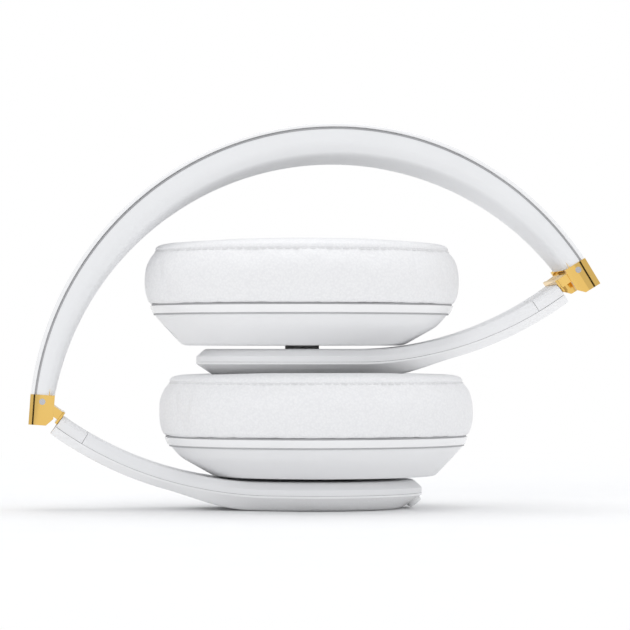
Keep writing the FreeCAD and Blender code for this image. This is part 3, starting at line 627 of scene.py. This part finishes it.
def band_piece(name, section):
    """Sweeps a closed section from hinge to hinge. The section gives, for each corner, the share of the
    half width, the depth at the crown and the place across the end face."""
    section = rounded_loop(section)
    share = np.linspace(-1, 1, 220)[:, None]
    half = END_HALF_WIDTH + (BAND_HALF_WIDTH - END_HALF_WIDTH) * (1 - smooth(np.abs(share), 0.35, 1.0))
    across = half * section[None, :, 0]
    grid = band_place(share, section[None, :, 1], section[None, :, 2], across)
    return skin(name, grid, "headband", angle=50)


def rounded_loop(corners, steps=7, reach=0.33):
    """A closed path whose corners are rounded by quadratic curves over a third of each side."""
    corners = np.asarray(corners, float)
    path = []
    for before, corner, after in zip(np.roll(corners, 1, axis=0), corners, np.roll(corners, -1, axis=0)):
        enter = corner + (before - corner) * reach
        leave = corner + (after - corner) * reach
        for share in np.linspace(0, 1, steps):
            path.append((1 - share) ** 2 * enter + 2 * share * (1 - share) * corner + share**2 * leave)
    return np.array(path)


COVER_SECTION = [
    (-1.0, 0.0014, 0.0021),
    (-1.0, 0.0003, 0.0032),
    (-0.93, 0.0000, 0.0035),
    (0.93, 0.0000, 0.0035),
    (1.0, 0.0003, 0.0032),
    (1.0, 0.0014, 0.0021),
]
PAD_SECTION = [
    (-0.978, 0.00143, 0.00205),
    (-0.985, 0.0030, 0.0009),
    (-0.985, 0.0062, -0.0010),
    (-0.90, 0.0094, -0.0028),
    (-0.60, 0.0108, -0.0035),
    (0.60, 0.0108, -0.0035),
    (0.90, 0.0094, -0.0028),
    (0.985, 0.0062, -0.0010),
    (0.985, 0.0030, 0.0009),
    (0.978, 0.00143, 0.00205),
]
GLOSS_WHITE = moulded("gloss_white", (0.91, 0.91, 0.915), (0.90, 0.90, 0.905), 0.16, 900, coat=0.5)
SOFT_WHITE = moulded("soft_touch_white", (0.86, 0.865, 0.875), (0.845, 0.85, 0.86), 0.55, 2600, depth=0.00002)
band_cover = band_piece("band_cover", COVER_SECTION)
band_cover.data.materials.append(GLOSS_WHITE)
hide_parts("headband_cover")
band_pad = band_piece("band_pad", PAD_SECTION)
band_pad.data.materials.append(SOFT_WHITE)
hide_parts("headband_pad", "headband_frame")

# A grey strip inside the parting line between cover and pad: painted shade that makes the line read dark.
SEAM_SECTION = [
    (-0.966, 0.0008, 0.0026),
    (0.966, 0.0008, 0.0026),
    (0.966, 0.0026, 0.0014),
    (-0.966, 0.0026, 0.0014),
]
parting_shade_strip = band_piece("parting_shade_strip", SEAM_SECTION)
parting_shade_strip.data.materials.append(PAINTED_GROOVE_SHADE)

# ---------------------------------------------------------------------------------------------------
# Hinges. Brackets and knuckles are pale gold, die-cast, polished and plated, with every edge broken.
def crowned_gold(name, middle, across, crown):
    """Polished gold whose faces are crowned: the height falls with the square of the distance from the
    middle line, measured along the direction across."""
    material = moulded(name, (0.84, 0.56, 0.17), (0.80, 0.51, 0.14), 0.06, 700, metallic=1.0, depth=0.000003)
    nodes, links = material.node_tree.nodes, material.node_tree.links
    place = nodes.new("ShaderNodeTexCoord").outputs["Object"]
    reach = nodes.new("ShaderNodeVectorMath")
    reach.operation = "DOT_PRODUCT"
    reach.inputs[1].default_value = across
    offset = nodes.new("ShaderNodeMath")
    offset.operation = "SUBTRACT"
    offset.inputs[1].default_value = sum(a * b for a, b in zip(middle, across))
    square = nodes.new("ShaderNodeMath")
    square.operation = "MULTIPLY"
    height = nodes.new("ShaderNodeMath")
    height.operation = "MULTIPLY"
    height.inputs[1].default_value = -crown
    bump = nodes.new("ShaderNodeBump")
    bump.inputs["Strength"].default_value = 1.0
    bump.inputs["Distance"].default_value = 1.0
    links.new(place, reach.inputs[0])
    links.new(reach.outputs["Value"], offset.inputs[0])
    links.new(offset.outputs["Value"], square.inputs[0])
    links.new(offset.outputs["Value"], square.inputs[1])
    links.new(square.outputs["Value"], height.inputs[0])
    links.new(height.outputs["Value"], bump.inputs["Height"])
    for fine in [node for node in nodes if node.type == "BUMP" and node != bump]:
        links.new(bump.outputs["Normal"], fine.inputs["Normal"])
    return material




def edged(node, name, width, segments=3):
    """The machined piece of that node with its edges broken to the given width."""
    mesh = frame["nodes"][node].data.copy()
    mesh.name = name
    mesh.materials.clear()
    work = bmesh.new()
    work.from_mesh(mesh)
    bmesh.ops.remove_doubles(work, verts=work.verts, dist=2e-6)
    bmesh.ops.dissolve_limit(work, angle_limit=math.radians(2), verts=work.verts, edges=work.edges)
    work.to_mesh(mesh)
    work.free()
    piece = bpy.data.objects.new(name, mesh)
    scene.collection.objects.link(piece)
    bevel = piece.modifiers.new("edges", "BEVEL")
    bevel.width = width
    bevel.segments = segments
    bevel.limit_method = "ANGLE"
    bevel.angle_limit = math.radians(40)
    bevel.harden_normals = True
    mesh.polygons.foreach_set("use_smooth", np.ones(len(mesh.polygons), bool))
    mesh.set_sharp_from_angle(angle=math.radians(35))
    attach(piece, frame["nodes"][node]["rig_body"])
    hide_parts(node)
    return piece


for side in ("right", "left"):
    for part, width in (("hinge_bracket", 0.0003), ("hinge_knuckle", 0.00012)):
        piece = edged(f"{part}_{side}", f"gold_{part}_{side}", width)
        pin = hinge_right if side == "right" else hinge_left
        lean = FLARE + TILT if side == "left" else math.pi - FLARE + TILT
        across = (math.cos(lean), 0, math.sin(lean))
        piece.data.materials.append(crowned_gold(f"gold_{part}_{side}", pin, across, 55.0))

# ---------------------------------------------------------------------------------------------------
# Buttons. The round button, the ring round it and the power button are white mouldings in the same
# satin finish as the pods. Each sits in a pocket of the pod's outer shell, with its edges broken.
for node in ("power_button", "centre_button", "volume_ring"):
    piece = edged(node, "satin_" + node, 0.00035, 4)
    piece.data.materials.append(SATIN_WHITE)

# ---------------------------------------------------------------------------------------------------
# Inside. Rails, pins, screws and the spring are steel, the boards are green laminate, and the plates and
# gimbals are filled plastic. Each is made as drawn and only gets the look of its own stock here.
STEEL = moulded("spring_steel", (0.62, 0.62, 0.64), (0.52, 0.52, 0.54), 0.28, 1200, metallic=1.0)
BOARD = moulded("board_green", (0.05, 0.22, 0.12), (0.04, 0.17, 0.09), 0.4, 900)
BLACK = moulded("filled_black", (0.045, 0.045, 0.05), (0.03, 0.03, 0.034), 0.5, 1800)
WRAP = moulded("cell_wrap", (0.22, 0.26, 0.32), (0.18, 0.21, 0.27), 0.35, 1100)
FILM = moulded("dome_film", (0.36, 0.34, 0.31), (0.28, 0.27, 0.25), 0.22, 800, coat=0.4)
PIPE = moulded("clear_pipe", (0.55, 0.56, 0.58), (0.45, 0.46, 0.48), 0.12, 700, coat=0.5)
GREY = moulded("filled_grey", (0.50, 0.50, 0.51), (0.46, 0.46, 0.47), 0.5, 1800)
CLOTH_DARK = moulded("speaker_cloth", (0.13, 0.13, 0.135), (0.05, 0.05, 0.055), 0.85, 2600, depth=0.0002)
STOCK = {
    "gimbal_post": MATTE_WHITE,
    "gimbal_ring": GREY,
    "slider_rail": STEEL,
    "hinge_pin": STEEL,
    "gimbal_inner_pin": STEEL,
    "gimbal_outer_pins": STEEL,
    "baffle_screws": STEEL,
    "pod_screws": STEEL,
    "headband_spring": STEEL,
    "driver_diaphragm": FILM,
    "driver": STEEL,
    "main_board": BOARD,
    "button_board": BOARD,
    "battery": WRAP,
    "acoustic_cloth": CLOTH_DARK,
    "charge_light_pipes": PIPE,
    "charging_socket": STEEL,
    "jack_socket": STEEL,
}
replaced = ("arm_", "slider_collar", "cup_shell", "bezel", "cushion", "hinge_bracket", "hinge_knuckle")
for node, thing in frame["nodes"].items():
    if node.startswith(replaced) or node in ("power_button", "centre_button", "volume_ring"):
        continue
    stock = [material for part, material in STOCK.items() if node.startswith(part)]
    thing.data.materials.clear()
    thing.data.materials.append(stock[-1] if stock else BLACK)

# ---------------------------------------------------------------------------------------------------
# Stage. A white floor that fades to plain white away from the headphones, large soft lights, black cards
# that show only in polished metal, and the camera.
FLOOR_REACH = 6.0
FADE_START, FADE_END = 0.10, 0.42
floor_mesh = bpy.data.meshes.new("floor")
floor_corners = [(-1, -1), (1, -1), (1, 1), (-1, 1)]
floor_mesh.from_pydata([(x * FLOOR_REACH, y * FLOOR_REACH, 0) for x, y in floor_corners], [], [(0, 1, 2, 3)])
floor = bpy.data.objects.new("floor", floor_mesh)
scene.collection.objects.link(floor)
paper = moulded("white_paper", (0.93, 0.93, 0.93), (0.92, 0.92, 0.92), 0.6, 400)
nodes, links = paper.node_tree.nodes, paper.node_tree.links
distance = nodes.new("ShaderNodeVectorMath")
distance.operation = "LENGTH"
fade = nodes.new("ShaderNodeMapRange")
fade.interpolation_type = "SMOOTHSTEP"
fade.inputs["From Min"].default_value = FADE_START
fade.inputs["From Max"].default_value = FADE_END
glow = nodes.new("ShaderNodeEmission")
glow.inputs["Strength"].default_value = 1.0
mixed = nodes.new("ShaderNodeMixShader")
links.new(nodes.new("ShaderNodeTexCoord").outputs["Object"], distance.inputs[0])
links.new(distance.outputs["Value"], fade.inputs["Value"])
links.new(fade.outputs["Result"], mixed.inputs["Fac"])
links.new(nodes["Principled BSDF"].outputs["BSDF"], mixed.inputs[1])
links.new(glow.outputs["Emission"], mixed.inputs[2])
links.new(mixed.outputs["Shader"], nodes["Material Output"].inputs["Surface"])
floor_mesh.materials.append(paper)


CARD_BLACK = moulded("card_black", (0.02, 0.02, 0.02), (0.015, 0.015, 0.015), 0.7, 1500)


def dark_card(name, place, width, height):
    """An upright black card facing the object, seen only in polished metal."""
    mesh = bpy.data.meshes.new(name)
    across = Vector((-place[1], place[0], 0)).normalized() * width / 2
    middle = Vector(place)
    low, high = middle - Vector((0, 0, height / 2)), middle + Vector((0, 0, height / 2))
    mesh.from_pydata([low - across, low + across, high + across, high - across], [], [(0, 1, 2, 3)])
    card = bpy.data.objects.new(name, mesh)
    scene.collection.objects.link(card)
    card.data.materials.append(CARD_BLACK)
    card.visible_camera = False
    card.visible_diffuse = False
    card.visible_shadow = False


dark_card("card_left", (-0.42, -0.62, 0.15), 0.07, 0.9)
dark_card("card_right", (0.40, -0.60, 0.15), 0.07, 0.9)
dark_card("card_far_left", (-0.75, -0.25, 0.15), 0.25, 0.9)
dark_card("card_far_right", (0.78, -0.15, 0.15), 0.25, 0.9)

world = bpy.data.worlds.new("studio")
scene.world = world
world.use_nodes = True
world_nodes, world_links = world.node_tree.nodes, world.node_tree.links
seen = world_nodes["Background"]
seen.inputs["Color"].default_value = (1, 1, 1, 1)
seen.inputs["Strength"].default_value = 1.0
lit = world_nodes.new("ShaderNodeBackground")
lit.inputs["Color"].default_value = (0.97, 0.98, 1, 1)
lit.inputs["Strength"].default_value = 0.80
either = world_nodes.new("ShaderNodeMixShader")
ray = world_nodes.new("ShaderNodeLightPath")
world_links.new(ray.outputs["Is Camera Ray"], either.inputs["Fac"])
world_links.new(lit.outputs["Background"], either.inputs[1])
world_links.new(seen.outputs["Background"], either.inputs[2])
world_links.new(either.outputs["Shader"], world_nodes["World Output"].inputs["Surface"])


def soft_light(name, place, target, size, power):
    """A large square lamp that looks at a point."""
    data = bpy.data.lights.new(name, "AREA")
    data.shape = "SQUARE"
    data.size = size
    data.energy = power
    lamp = bpy.data.objects.new(name, data)
    scene.collection.objects.link(lamp)
    lamp.location = place
    lamp.rotation_euler = (Vector(target) - Vector(place)).to_track_quat("-Z", "Y").to_euler()
    return lamp


soft_light("overhead", (0.0, 0.15, 1.3), (0, 0, 0.05), 1.1, 6.0)
soft_light("front_left", (-0.9, -1.1, 0.9), (0, 0, 0.05), 0.7, 2.5)
soft_light("right_side", (1.2, -0.4, 0.5), (0, 0, 0.06), 0.5, 1.0)

DISTANCE, AZIMUTH, CAMERA_HEIGHT = 0.800, math.radians(-5.4), 0.0466
AIM = (0.00045, 0.0, 0.0569)
camera_data = bpy.data.cameras.new("camera")
camera_data.lens = 155
camera_data.sensor_width = 36
camera_data.clip_start = 0.01
camera = bpy.data.objects.new("camera", camera_data)
scene.collection.objects.link(camera)
camera.location = (
    AIM[0] + DISTANCE * math.sin(AZIMUTH),
    -DISTANCE * math.cos(AZIMUTH),
    CAMERA_HEIGHT,
)
camera.rotation_euler = (Vector(AIM) - camera.location).to_track_quat("-Z", "Y").to_euler()
scene.camera = camera
scene.view_settings.view_transform = "Standard"
